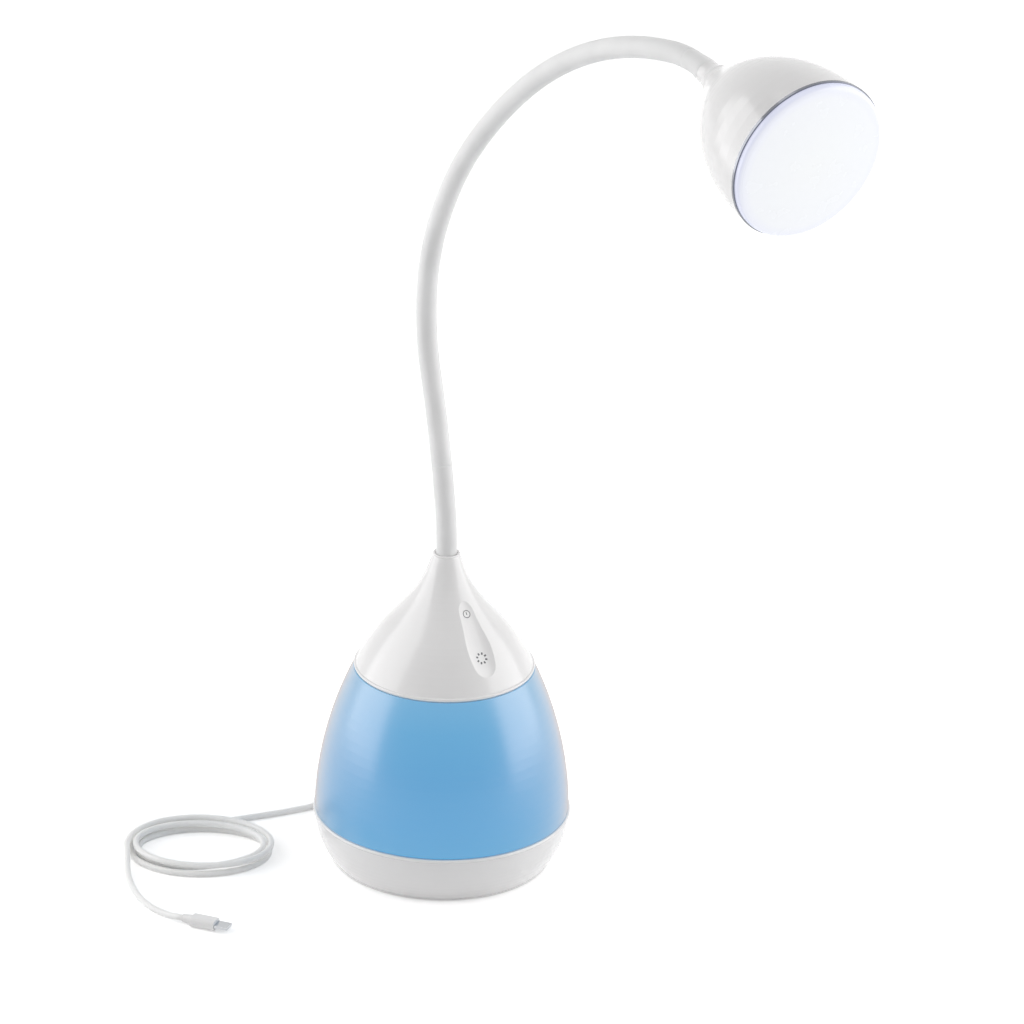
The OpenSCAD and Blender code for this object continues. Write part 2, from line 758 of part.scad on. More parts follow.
module head_washer() {
    color("silver") at_head() translate([0, 0, head_web_end + touch_gap]) washer_disc();
}

module head_nut() {
    color("silver") at_head() translate([0, 0, head_web_end + 0.8 + 2 * touch_gap]) nut();
}

heat_r = r_at(bell_curve, plate_head_z, bell_wall) - 1;
heat_t = 1.5;

module heat_plate() {
    color("lightgray") at_head() translate([0, 0, plate_head_z]) difference() {
        cylinder(r = heat_r, h = heat_t, $fn = 96);
        translate([0, 0, -1]) cylinder(r = 5, h = heat_t + 2);
        ring_of(3, boss_head_r, 90) translate([0, 0, -1]) cylinder(r = screw_r + 0.15, h = 4, $fn = 32);
    }
}

led_board_z = plate_head_z + heat_t + touch_gap;
led_board_t = 1.6;

module led_board() {
    color("whitesmoke") at_head() translate([0, 0, led_board_z]) difference() {
        cylinder(r = heat_r - 2, h = led_board_t, $fn = 96);
        translate([0, 0, -1]) cylinder(r = 3, h = led_board_t + 2, $fn = 32);
        ring_of(3, boss_head_r, 90) translate([0, 0, -1]) cylinder(r = screw_r + 0.15, h = 4, $fn = 32);
    }
}

module led_chip() {
    translate([-1.4, -1.75, 0]) cube([2.8, 3.5, 0.8]);
}

outer_led_r = heat_r - 4.5;
inner_led_count = 8;
inner_led_r = 12;

module head_leds() {
    color("lightyellow") at_head() translate([0, 0, led_board_z + led_board_t + touch_gap]) {
        ring_of(head_led_count, outer_led_r) led_chip();
        ring_of(inner_led_count, inner_led_r) led_chip();
    }
}

head_screw_l = 9;

module head_screws() {
    z = led_board_z + led_board_t + touch_gap;
    color("silver") at_head() ring_of(3, boss_head_r, 90) {
        translate([0, 0, z]) cylinder(r = 2.2, h = 1.5, $fn = 32);
        translate([0, 0, z - head_screw_l]) cylinder(r = screw_r, h = head_screw_l + 0.1, $fn = 32);
    }
}

lens_skirt_h = 5;
lens_skirt_r = r_at(bell_curve, rim_z - lens_skirt_h - 0.5, bell_wall) - seat_gap;
trim_z = rim_z + touch_gap;
lens_z = trim_z + trim_h + touch_gap;
lens_r = rim_r - 0.5;
lens_round = min(2.4, lens_out - 1);

module trim_ring() {
    color("silver") at_head() translate([0, 0, trim_z])
        ring_tube(trim_h, rim_r + 0.15, lens_skirt_r + 0.2);
}

// Half of the lens wall: the crowned face, its round edge and the skirt
function lens_face(d) = [
    for (i = [0:6]) let (x = i / 6 * (lens_r - lens_round))
        [x, lens_z + lens_out - d + lens_crown * (1 - pow(i / 6, 2))]
];
function lens_edge(d) = [
    for (a = [90:-18:0]) [
        lens_r - lens_round + (lens_round - d) * cos(a),
        lens_z + lens_out - lens_round + (lens_round - d) * sin(a)
    ]
];

module lens() {
    foot = rim_z - lens_skirt_h;
    color("whitesmoke") at_head() rotate_extrude($fn = 96) polygon(concat(
        lens_face(0), lens_edge(0),
        [[lens_r, lens_z], [lens_skirt_r, lens_z], [lens_skirt_r, foot], [lens_skirt_r - lens_wall, foot]],
        reversed(lens_edge(lens_wall)), reversed(lens_face(lens_wall))
    ));
}

// --- Charging cable -------------------------------------------------------------------------
// Plug in the rear port, cable around the base, loose loops on the desk, slim connector.
cable_r = cable_d / 2;
cable_z = cable_r + 0.1;
plug_y = panel_y + seat_gap;
plug_body_l = 20;
relief_l = 9;
run_route = [
    [13, 79.5, 11.7], [13, 83, 11.6], [12, 87.5, 10.9], [8.5, 91.5, 9.4], [3, 93, 7.4],
    [-2.5, 91, 5.4], [-7, 86.5, 3.8], [-11, 80.5, 2.5], [-16.5, 74.5, 1.7], [-26.5, 71, 1.6],
    [-40, 72, 1.6], [-55, 74.5, 1.6], [-69, 77.5, 1.6]
];
loop_centre = [-99, 57.5];
loop_turn = -33;
loop_a = 35;
loop_b = 29;
loop_step_a = 3.6;
loop_step_b = 6.5;
loop_start = 88;
rings_per_turn = 24;
loop_rings = round(cable_turns * rings_per_turn);

// The loops wind in on the desk for half their turns and out again in a layer above it
function loop_point(i) =
    let (
        turn = i / rings_per_turn, half = cable_turns / 2,
        inward = half - abs(turn - half),
        climb = min(1, max(0, turn - half + 0.25) / 0.5),
        a = loop_start + 360 * turn,
        x = (loop_a - loop_step_a * inward) * cos(a),
        y = (loop_b - loop_step_b * inward) * sin(a)
    )
    [
        loop_centre[0] + x * cos(loop_turn) - y * sin(loop_turn),
        loop_centre[1] + x * sin(loop_turn) + y * cos(loop_turn),
        cable_z + cable_layer * climb * climb * (3 - 2 * climb)
    ];
loop_route = [for (i = [0:loop_rings]) loop_point(i)];

function unit(v) = v / norm(v);
function route_dir(p, i) =
    i == 0 ? unit(p[1] - p[0])
    : i == len(p) - 1 ? unit(p[i] - p[i - 1])
    : unit(unit(p[i + 1] - p[i]) + unit(p[i] - p[i - 1]));

// A round tube of equal rings along a route, closed at both ends
module tube_along(p, r, sides) {
    n = len(p);
    rings = [
        for (i = [0:n - 1])
            let (d = route_dir(p, i), s = unit(cross([0, 0, 1], d)), u = cross(d, s))
            for (k = [0:sides - 1]) let (a = 360 * (k + 0.5) / sides)
                p[i] + r * (cos(a) * s + sin(a) * u)
    ];
    sides_faces = [
        for (i = [0:n - 2], k = [0:sides - 1])
            let (a = i * sides + k, b = i * sides + (k + 1) % sides)
            each [[a, a + sides, b + sides], [a, b + sides, b]]
    ];
    caps = [
        for (k = [1:sides - 2]) let (a = (n - 1) * sides) each [[0, k, k + 1], [a, a + k + 1, a + k]]
    ];
    polyhedron(rings, concat(sides_faces, caps));
}

// A smooth route through hand-chosen points
function spline_point(p, i, t) =
    let (
        n = len(p) - 1, a = p[max(0, i - 1)], b = p[i], c = p[min(n, i + 1)], d = p[min(n, i + 2)]
    )
    0.5 * (2 * b + (c - a) * t + (2 * a - 5 * b + 4 * c - d) * t * t
           + (3 * b - a - 3 * c + d) * t * t * t);
function smooth_route(p, steps) = concat(
    [for (i = [0:len(p) - 2], k = [0:steps - 1]) spline_point(p, i, k / steps)],
    [p[len(p) - 1]]
);

loop_in = route_dir(loop_route, 0);
loop_out = route_dir(loop_route, loop_rings);
run_path = smooth_route(concat(run_route,
    [loop_route[0] - cable_d * loop_in, loop_route[0] - touch_gap * loop_in]), 2);
tail_route = [
    [-135, 66, 4.2], [-140.5, 56, 2.4], [-144.5, 47, 1.6], [-148, 36, 1.6], [-149.8, 25, 1.6],
    [-149.3, 15, 1.6], [-147, 6, 2]
];
connector_start = [-143.5, -1, 2.6];
connector_heading = -54;
connector_back = [cos(connector_heading), sin(connector_heading), 0];
tail_path = smooth_route(concat(
    [loop_route[loop_rings] + touch_gap * loop_out, loop_route[loop_rings] + cable_d * loop_out],
    tail_route,
    [connector_start - cable_d * connector_back, connector_start]), 2);

// Least distance between strands that are more than half a turn apart
loop_gap = min([
    for (i = [0:loop_rings - 13], j = [i + 12:loop_rings]) norm(loop_route[i] - loop_route[j])
]) - cable_d;
echo(least_gap_between_loops = loop_gap);

module cable_run() {
    color("white") tube_along(run_path, cable_r, 8);
}

module cable_loops() {
    color("white") tube_along(loop_route, cable_r, 6);
}

module cable_tail() {
    color("white") tube_along(tail_path, cable_r, 8);
}

plug_in = 11.5;

module usb_plug_shell() {
    color("silver") translate([port_x, plug_y - plug_in, usb_z]) {
        difference() {
            translate([-6, 0, -2.25]) cube([12, plug_in - touch_gap, 4.5]);
            translate([-5.7, -1, -1.95]) cube([11.4, plug_in, 3.9]);
        }
        translate([-5.6, 0.3, -1.85]) cube([11.2, plug_in - 0.6, 1.9]);
    }
}

module usb_plug_body() {
    color("white") translate([port_x, plug_y, usb_z]) rotate([-90, 0, 0]) {
        slab(15.6, 8, plug_body_l - 2, 2);
        translate([0, 0, plug_body_l - 2.01]) slab(12, 6.6, 2.01, 2);
        difference() {
            translate([0, 0, plug_body_l - 0.01])
                cylinder(r1 = 3, r2 = 2.1, h = relief_l - touch_gap, $fn = 48);
            for (i = [0:2]) translate([0, 0, plug_body_l + 2 + 2.2 * i]) ring_tube(0.9, 4, 2);
        }
    }
}

connector_l = 12;

module connector_body() {
    color("white") translate(connector_start) rotate([0, 0, connector_heading + 90]) rotate([90, 0, 0]) {
        translate([0, 0, touch_gap]) cylinder(r1 = 1.9, r2 = 2.4, h = 5, $fn = 40);
        translate([0, 0, 5]) slab(7.8, 4.8, connector_l, 2);
    }
}

module connector_tip() {
    color("silver") translate(connector_start) rotate([0, 0, connector_heading + 90]) rotate([90, 0, 0])
        translate([0, 0, 5 + connector_l + touch_gap]) slab(6.7, 1.5, 6.5, 0.7);
}

cover();
lit_band();
lower_ring();
bottom_plate();
foot_pad();
weight_plate();
base_screws();
column();
light_deck();
band_board();
band_leds();
main_board();
board_screws();
board_chips();
usb_socket();
power_inlet();
inlet_pin();
touch_board();
band_wires();
neck_ferrule();
neck_washer();
neck_nut();
for (k = [1:link_count]) {
    sleeve(k);
    core(k);
    wires(k);
}
head_shell();
head_ferrule();
head_washer();
head_nut();
heat_plate();
led_board();
head_leds();
head_screws();
trim_ring();
lens();
usb_plug_shell();
usb_plug_body();
cable_run();
cable_loops();
cable_tail();
connector_body();
connector_tip();
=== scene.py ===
"""A gooseneck desk lamp on a teardrop base, with its charging cable, dressed for a studio render.

In the part's own frame +Z is up, the lamp's front is -Y, and the origin is the centre of the base
on the desk. The lamp's own sizes are in millimetres, as in part.scad, and MM turns them into
metres. The camera, the lights and the materials' depths are in metres.
"""
import json
import math

import bpy
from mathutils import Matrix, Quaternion, Vector


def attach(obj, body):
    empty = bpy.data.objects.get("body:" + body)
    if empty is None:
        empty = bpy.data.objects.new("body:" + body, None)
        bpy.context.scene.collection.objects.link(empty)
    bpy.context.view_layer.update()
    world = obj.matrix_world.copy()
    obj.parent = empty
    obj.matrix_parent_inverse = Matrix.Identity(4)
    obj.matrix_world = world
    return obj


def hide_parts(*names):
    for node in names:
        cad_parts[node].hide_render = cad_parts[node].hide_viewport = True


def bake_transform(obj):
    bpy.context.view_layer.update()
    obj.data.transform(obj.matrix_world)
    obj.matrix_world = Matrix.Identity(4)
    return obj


MM = 0.001
UP = Vector((0, 0, 1))
SIDEWAYS = Vector((1, 0, 0))

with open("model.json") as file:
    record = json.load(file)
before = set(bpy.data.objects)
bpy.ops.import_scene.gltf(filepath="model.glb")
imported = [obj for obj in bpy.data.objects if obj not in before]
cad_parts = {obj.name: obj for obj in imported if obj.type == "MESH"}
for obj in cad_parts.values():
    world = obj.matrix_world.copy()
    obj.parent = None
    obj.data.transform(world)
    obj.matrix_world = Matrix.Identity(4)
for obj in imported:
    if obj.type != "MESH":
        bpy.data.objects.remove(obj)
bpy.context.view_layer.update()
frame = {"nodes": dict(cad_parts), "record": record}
nodes = frame["nodes"]
scene = bpy.context.scene

# --- Camera: fitted to the base's seams and silhouette in the photograph -------------------------

IMAGE = 1024  # pixels on each side
BASE_PIXEL = (440.8, 851.8)  # where the origin lies in the picture
FOCAL_PX = 6000.0
SENSOR_WIDTH = 36.0
CLIP_NEAR, CLIP_FAR = 0.1, 20.0
DISTANCE = 2.88
ELEVATION = math.radians(26.51)
ROLL = math.radians(1.07)
FRONT_TURN = math.radians(33.0)  # the lamp's front points this far to the camera's right


def make_camera():
    """A camera that looks at the origin, then turns until the origin lies at BASE_PIXEL."""
    back = Vector((-math.sin(FRONT_TURN) * math.cos(ELEVATION),
                   -math.cos(FRONT_TURN) * math.cos(ELEVATION), math.sin(ELEVATION)))
    camera = bpy.data.cameras.new("camera")
    camera.sensor_width = SENSOR_WIDTH
    camera.lens = FOCAL_PX / IMAGE * SENSOR_WIDTH
    camera.clip_start, camera.clip_end = CLIP_NEAR, CLIP_FAR
    obj = bpy.data.objects.new("camera", camera)
    scene.collection.objects.link(obj)
    obj.rotation_mode = "QUATERNION"
    obj.location = back * DISTANCE
    turn = Quaternion(back, ROLL) @ (-back).to_track_quat("-Z", "Y")
    x = (BASE_PIXEL[0] - IMAGE / 2) / FOCAL_PX
    y = (IMAGE / 2 - BASE_PIXEL[1]) / FOCAL_PX
    ray = turn @ Vector((x, y, -1)).normalized()
    obj.rotation_quaternion = ray.rotation_difference(-back) @ turn
    scene.camera = obj


make_camera()

# --- Charging cable: it follows the route in part.scad -------------------------------------------

CABLE_D = 3.0
RUN_ROUTE = [
    (13, 79.5, 11.7), (13, 83, 11.6), (12, 87.5, 10.9), (8.5, 91.5, 9.4), (3, 93, 7.4),
    (-2.5, 91, 5.4), (-7, 86.5, 3.8), (-11, 80.5, 2.5), (-16.5, 74.5, 1.7), (-26.5, 71, 1.6),
    (-40, 72, 1.6), (-55, 74.5, 1.6), (-69, 77.5, 1.6),
]
TAIL_ROUTE = [
    (-135, 66, 4.2), (-140.5, 56, 2.4), (-144.5, 47, 1.6), (-148, 36, 1.6), (-149.8, 25, 1.6),
    (-149.3, 15, 1.6), (-147, 6, 2),
]
CONNECTOR_START = Vector((-143.5, -1, 2.6))
CONNECTOR_HEADING = math.radians(-54)
LOOP_CENTRE = (-99, 57.5)
LOOP_TURN = math.radians(-33)
LOOP_A, LOOP_B = 35, 29  # half the outer turns' length and width
LOOP_STEP_A, LOOP_STEP_B = 3.6, 6.5  # how much smaller they get with each turn inward
LOOP_START = math.radians(88)
LOOP_TURNS = 3.25
LAYER = 3.7  # how far the later turns lie above the first ones
CLIMB_TURNS = 0.5  # the part of a turn that takes the cable up there
DESK_Z = CABLE_D / 2 + 0.1
RINGS_PER_TURN = 48
RINGS_PER_STEP = 6  # between two points of a route
CABLE_SIDES = 20


def loop_point(turn):
    """A point on the loops, which wind inward on the desk and outward again on top of that."""
    half = LOOP_TURNS / 2
    inward = half - abs(turn - half)
    climb = min(1, max(0, turn - half + CLIMB_TURNS / 2) / CLIMB_TURNS)
    a = LOOP_START + 2 * math.pi * turn
    x = (LOOP_A - LOOP_STEP_A * inward) * math.cos(a)
    y = (LOOP_B - LOOP_STEP_B * inward) * math.sin(a)
    return Vector((LOOP_CENTRE[0] + x * math.cos(LOOP_TURN) - y * math.sin(LOOP_TURN),
                   LOOP_CENTRE[1] + x * math.sin(LOOP_TURN) + y * math.cos(LOOP_TURN),
                   DESK_Z + LAYER * climb * climb * (3 - 2 * climb)))


def smooth_route(points):
    """A Catmull-Rom curve through the points."""
    points = [Vector(p) for p in points]
    last = len(points) - 1
    out = []
    for i in range(last):
        a, b = points[max(0, i - 1)], points[i]
        c, d = points[i + 1], points[min(last, i + 2)]
        for k in range(RINGS_PER_STEP):
            t = k / RINGS_PER_STEP
            out.append(0.5 * (2 * b + (c - a) * t + (2 * a - 5 * b + 4 * c - d) * t * t
                              + (3 * b - a - 3 * c + d) * t ** 3))
    return out + [points[last]]


def cable_path():
    """The whole route in metres: from the plug to the loops, round them and on to the connector."""
    rings = round(LOOP_TURNS * RINGS_PER_TURN)
    loops = [loop_point(i / RINGS_PER_TURN) for i in range(rings + 1)]
    way_in = (loops[1] - loops[0]).normalized()
    way_out = (loops[-1] - loops[-2]).normalized()
    back = Vector((math.cos(CONNECTOR_HEADING), math.sin(CONNECTOR_HEADING), 0))
    run = smooth_route(RUN_ROUTE + [loops[0] - CABLE_D * way_in, loops[0]])
    tail = smooth_route([loops[-1], loops[-1] + CABLE_D * way_out] + TAIL_ROUTE
                        + [CONNECTOR_START - CABLE_D * back, CONNECTOR_START])
    return [p * MM for p in run + loops[1:-1] + tail]


def link_mesh(name, verts, faces):
    mesh = bpy.data.meshes.new(name)
    mesh.from_pydata([tuple(v) for v in verts], [], faces)
    mesh.update()
    for polygon in mesh.polygons:
        polygon.use_smooth = True
    obj = bpy.data.objects.new(name, mesh)
    scene.collection.objects.link(obj)
    return obj


def tube(name, path, radii, sides, caps=True, reference=UP, ways=None):
    """A round tube with one ring for each point of path, of that point's radius in radii.

    Each ring faces along its own direction in ways or, without them, from the point before it to
    the point after it.
    """
    last = len(path) - 1
    if ways is None:
        ways = [(path[min(i + 1, last)] - path[max(i - 1, 0)]).normalized()
                for i in range(last + 1)]
    verts, faces = [], []
    for p, radius, way in zip(path, radii, ways):
        s = reference.cross(way).normalized()
        u = way.cross(s)
        for k in range(sides):
            a = 2 * math.pi * k / sides
            verts.append(p + radius * (math.cos(a) * s + math.sin(a) * u))
    for i in range(last):
        for k in range(sides):
            a, b = i * sides + k, i * sides + (k + 1) % sides
            faces.append((a, b, b + sides, a + sides))
    if caps:
        faces.append(tuple(reversed(range(sides))))
        faces.append(tuple(range(last * sides, (last + 1) * sides)))
    return link_mesh(name, verts, faces)


route = cable_path()
cable = tube("charging_cable", route, [CABLE_D / 2 * MM] * len(route), CABLE_SIDES)
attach(cable, "root")
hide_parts("cable_run", "cable_loops", "cable_tail")


# --- Materials -----------------------------------------------------------------------------------

GRAIN = 900  # scale of the fine grain on metal and plastic
BAND_FOOT_Z, BAND_TOP_Z = 25.7, 99.0
HEAD_AXIS = Vector((0, -0.9763, -0.2164))
RIM_CENTRE = Vector((0, -268.21, 437.67))
RIM_R = 36.6


def srgb(r, g, b):
    """A colour given as it looks on screen, 0 to 255, in linear light."""
    return tuple(((v / 255 + 0.055) / 1.055) ** 2.4 if v > 10 else v / 255 / 12.92
                 for v in (r, g, b))


def map_range(tree, source, low, high, start=0.0, end=1.0):
    """The source as a number that goes from low to high while the source goes from start to end."""
    made = tree.nodes.new("ShaderNodeMapRange")
    made.inputs["From Min"].default_value = start
    made.inputs["From Max"].default_value = end
    made.inputs["To Min"].default_value = low
    made.inputs["To Max"].default_value = high
    tree.links.new(source, made.inputs["Value"])
    return made.outputs["Result"]


class Shader:
    """A material whose nodes are built step by step; sockets are the shader's own, by name."""

    def __init__(self, name, color, roughness, metallic=0.0, **sockets):
        self.material = bpy.data.materials.new(name)
        self.material.use_nodes = True
        self.tree = self.material.node_tree
        self.bsdf = self.tree.nodes["Principled BSDF"]
        self.bsdf.inputs["Base Color"].default_value = (*color, 1)
        self.bsdf.inputs["Roughness"].default_value = roughness
        self.bsdf.inputs["Metallic"].default_value = metallic
        for key, value in sockets.items():
            self.bsdf.inputs[key.replace("_", " ")].default_value = value
        self.coords = self.tree.nodes.new("ShaderNodeTexCoord").outputs["Object"]

    def node(self, kind, **values):
        """A new node, with values for its sockets or its own settings."""
        made = self.tree.nodes.new(kind)
        for key, value in values.items():
            if key in made.inputs:
                made.inputs[key].default_value = value
            else:
                setattr(made, key, value)
        return made

    def link(self, source, target):
        self.tree.links.new(source, target)

    def noise(self, scale, detail=3.0):
        made = self.node("ShaderNodeTexNoise", Scale=scale, Detail=detail)
        self.link(self.coords, made.inputs["Vector"])
        return made.outputs["Fac"]

    def ramp(self, source, stops):
        """A colour from the (position, colour) stops."""
        made = self.tree.nodes.new("ShaderNodeValToRGB")
        ramp = made.color_ramp
        while len(ramp.elements) < len(stops):
            ramp.elements.new(0.5)
        for element, (position, color) in zip(ramp.elements, stops):
            element.position = position
            element.color = (*color, 1)
        self.link(source, made.inputs["Fac"])
        return made.outputs["Color"]

    def vary_color(self, scale, first, second):
        mixed = self.ramp(self.noise(scale), [(0.35, first), (0.65, second)])
        self.link(mixed, self.bsdf.inputs["Base Color"])

    def vary_roughness(self, scale, low, high):
        self.link(map_range(self.tree, self.noise(scale), low, high), self.bsdf.inputs["Roughness"])

    def bump(self, scale, distance, strength, detail=2.0):
        made = self.node("ShaderNodeBump", Distance=distance, Strength=strength)
        self.link(self.noise(scale, detail), made.inputs["Height"])
        self.link(made.outputs["Normal"], self.bsdf.inputs["Normal"])

    def glow(self, color, strength):
        self.link(color, self.bsdf.inputs["Emission Color"])
        self.bsdf.inputs["Emission Strength"].default_value = strength


def glossy_white():
    shader = Shader("gloss_white_plastic", srgb(237, 236, 236), roughness=0.2,
                    Coat_Weight=0.5, Coat_Roughness=0.13)
    shader.vary_color(22, srgb(236, 235, 235), srgb(239, 238, 238))
    shader.vary_roughness(160, low=0.18, high=0.24)
    shader.bump(420, distance=0.00002, strength=0.2)
    return shader.material


def satin_sleeve():
    shader = Shader("silicone_sleeve", srgb(236, 236, 236), roughness=0.42, Specular_IOR_Level=0.35)
    shader.vary_color(40, srgb(234, 234, 234), srgb(240, 240, 240))
    shader.vary_roughness(300, low=0.36, high=0.5)
    shader.bump(2600, distance=0.00004, strength=0.3)
    return shader.material


def cable_jacket():
    """White vinyl that lets a little light through."""
    shader = Shader("cable_jacket", srgb(238, 239, 240), roughness=0.38, Subsurface_Weight=0.7,
                    Subsurface_Radius=(1, 1, 1), Subsurface_Scale=0.004)
    shader.vary_color(60, srgb(251, 249, 246), srgb(254, 253, 250))
    shader.bump(1800, distance=0.00003, strength=0.3)
    return shader.material


def lit_band():
    """The blue diffuser: milky plastic lit from inside, deepest below its middle."""
    shader = Shader("lit_band", srgb(0, 88, 104), roughness=0.3,
                    Coat_Weight=1.0, Coat_Roughness=0.26, Coat_IOR=1.75,
                    Specular_IOR_Level=0.8, Specular_Tint=(1, 0.5, 0.25, 1),
                    Sheen_Weight=1.0, Sheen_Roughness=0.45, Sheen_Tint=(*srgb(255, 222, 192), 1))
    split = shader.node("ShaderNodeSeparateXYZ")
    shader.link(shader.coords, split.inputs["Vector"])
    height = map_range(shader.tree, split.outputs["Z"], 0.0, 1.0, BAND_FOOT_Z * MM, BAND_TOP_Z * MM)
    shader.glow(shader.ramp(height, [
        (0.0, srgb(10, 136, 192)), (0.2, srgb(0, 133, 192)), (0.5, srgb(0, 130, 189)),
        (0.8, srgb(40, 138, 192)), (1.0, srgb(70, 146, 194))]), 1.0)
    shader.vary_roughness(90, low=0.28, high=0.34)
    return shader.material


def lens_material():
    """Opal lens lit from behind: white, with a cooler edge."""
    shader = Shader("opal_lens", srgb(120, 122, 128), roughness=0.25,
                    Coat_Weight=0.3, Coat_Roughness=0.1)
    shader.vary_roughness(120, low=0.2, high=0.32)
    offset = shader.node("ShaderNodeVectorMath", operation="SUBTRACT")
    offset.inputs[1].default_value = RIM_CENTRE * MM
    shader.link(shader.coords, offset.inputs[0])
    across = shader.node("ShaderNodeVectorMath", operation="CROSS_PRODUCT")
    across.inputs[1].default_value = HEAD_AXIS
    shader.link(offset.outputs["Vector"], across.inputs[0])
    radius = shader.node("ShaderNodeVectorMath", operation="LENGTH")
    shader.link(across.outputs["Vector"], radius.inputs[0])
    outward = map_range(shader.tree, radius.outputs["Value"], 0.0, 1.0, 0.0, RIM_R * MM)
    shader.glow(shader.ramp(outward, [
        (0.0, srgb(244, 246, 246)), (0.84, srgb(242, 244, 247)), (0.96, srgb(236, 238, 249)),
        (1.0, srgb(198, 202, 230))]), 0.8)
    return shader.material


def darker(color, share):
    """A colour with this share of its light taken off."""
    return tuple((1 - share) * v for v in color)


def bright_metal(name, color, roughness):
    shader = Shader(name, color, roughness, metallic=1.0)
    shader.vary_color(60, darker(color, 0.08), color)
    shader.bump(GRAIN, distance=0.00002, strength=0.2)
    return shader.material


def plain_plastic(name, color, roughness, grain=GRAIN, depth=0.00005):
    shader = Shader(name, color, roughness)
    shader.vary_color(70, darker(color, 0.1), color)
    shader.bump(grain, distance=depth, strength=0.4, detail=3.0)
    return shader.material


materials = {
    "gloss_white": glossy_white(),
    "lit_blue": lit_band(),
    "white_soft": satin_sleeve(),
    "cable_white": cable_jacket(),
    "lens_white": lens_material(),
    "grey_plastic": plain_plastic("grey_plastic", srgb(150, 151, 152), 0.5),
    "foot_rubber": plain_plastic("foot_rubber", srgb(62, 62, 64), 0.75, grain=1500, depth=0.0001),
    "weight_steel": bright_metal("weight_steel", srgb(120, 122, 126), 0.45),
    "bright_steel": bright_metal("plated_steel", srgb(200, 202, 205), 0.22),
    "bright_trim": bright_metal("polished_trim", srgb(134, 136, 142), 0.12),
    "heat_aluminium": bright_metal("sheet_aluminium", srgb(208, 210, 212), 0.35),
    "white_board": plain_plastic("white_board", srgb(228, 228, 222), 0.4),
    "green_board": plain_plastic("green_board", srgb(30, 92, 52), 0.35),
    "led_yellow": plain_plastic("led_phosphor", srgb(240, 226, 140), 0.5),
    "chip_black": plain_plastic("chip_black", srgb(28, 28, 31), 0.45),
    "copper_wire": plain_plastic("wire_jacket", srgb(178, 34, 30), 0.45),
}


def dress(obj, slot):
    obj.data.materials.clear()
    obj.data.materials.append(materials[slot])


for part in frame["record"]["subparts"]:
    dress(nodes[part["node"]], part["material_slot"])
dress(cable, "cable_white")

# --- Neck sleeve: one smooth skin along the whole neck -------------------------------------------

MOUTH_Z = 157.0
NECK_ARCS = [  # length, and how many degrees it turns towards the front
    (24, -9.5), (62, -7.5), (77, 39.5), (57, 18), (61, 11.5), (64, 15), (56, 14.5), (26, 21),
]
SLEEVE_R = 4.9
SLEEVE_SIDES = 48
RING_STEP = 1.5
END_GAP = 0.4  # a ring closer than this to the end of its stretch is left out
WAY_REACH = 0.5  # the neck's direction is taken over this far on each side of a point
FOOT_DEPTH = 8.0  # how far the skin reaches down into the cover
FLARE, FLARE_LEN = 0.58, 8.0  # how much the tip widens, and over which length
TUCK = 0.5  # how far the tip covers the start of the head's collar


def arc_end(place, length, turn):
    """A place is (y, z, heading), with the heading in degrees from +Z towards the front."""
    y, z, heading = place
    h, t = math.radians(heading), math.radians(turn)
    r = length / t
    a, b = r * math.sin(t), r * (1 - math.cos(t))
    return (y - a * math.sin(h) - b * math.cos(h), z + a * math.cos(h) - b * math.sin(h),
            heading + turn)


def neck_places():
    """Points along the neck, as (length so far, point), and the length at each end of an arc."""
    here, done, out, ends = (0.0, MOUTH_Z, 0.0), 0.0, [], [0.0]
    for length, turn in NECK_ARCS:
        steps = math.ceil(length / RING_STEP)
        for k in range(steps):
            y, z, _ = arc_end(here, length * k / steps, turn * k / steps) if k else here
            out.append((done + length * k / steps, Vector((0, y, z))))
        here = arc_end(here, length, turn)
        done += length
        ends.append(done)
    out.append((done, Vector((0, here[0], here[1]))))
    return out, ends


places, arc_ends = neck_places()
joint_at = arc_ends[2:-1]  # the first rigid length has two arcs
middles = [(a + b) / 2 for a, b in zip([0.0] + joint_at, joint_at + [arc_ends[-1]])]


def point_at(length):
    for (a, p), (b, q) in zip(places, places[1:]):
        if length <= b:
            return p.lerp(q, (length - a) / (b - a))
    return places[-1][1]


def direction_at(length):
    return (point_at(length + WAY_REACH) - point_at(max(0.0, length - WAY_REACH))).normalized()


def skin(name, start, end, below=0.0, flare=0.0):
    """A stretch of the sleeve, which may go straight down below its start, or flare at its end."""
    lengths = [start] + [s for s, _ in places if start + END_GAP < s < end - END_GAP] + [end]
    path = [point_at(s) for s in lengths]
    ways = [direction_at(s) for s in lengths]
    widen = [min(1.0, max(0.0, 1 - (end - s) / FLARE_LEN)) for s in lengths]
    radii = [SLEEVE_R + flare * t * t * (3 - 2 * t) for t in widen]
    if below:
        path.insert(0, path[0] - Vector((0, 0, below)))
        ways.insert(0, ways[0])
        radii.insert(0, SLEEVE_R)
    if flare:
        path.append(path[-1] + TUCK * ways[-1])
        ways.append(ways[-1])
        radii.append(radii[-1])
    return tube(name, [p * MM for p in path], [r * MM for r in radii], SLEEVE_SIDES,
                caps=bool(below or flare), reference=SIDEWAYS, ways=ways)


foot = skin("sleeve_skin_1", 0.0, middles[0], below=FOOT_DEPTH)
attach(foot, "root")
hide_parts("sleeve_1")
skins = [foot]
for k, at in enumerate(joint_at):
    piece = skin("sleeve_skin_%d" % (k + 2), middles[k], middles[k + 1])
    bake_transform(piece)
    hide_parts("sleeve_%d" % (k + 2))
    skins.append(piece)
tip = skin("sleeve_skin_8", middles[-1], arc_ends[-1], flare=FLARE)
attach(tip, "head")
skins.append(tip)
for piece in skins:
    dress(piece, "white_soft")

# --- Fine lips along the edges of the cover and the ring -----------------------------------------

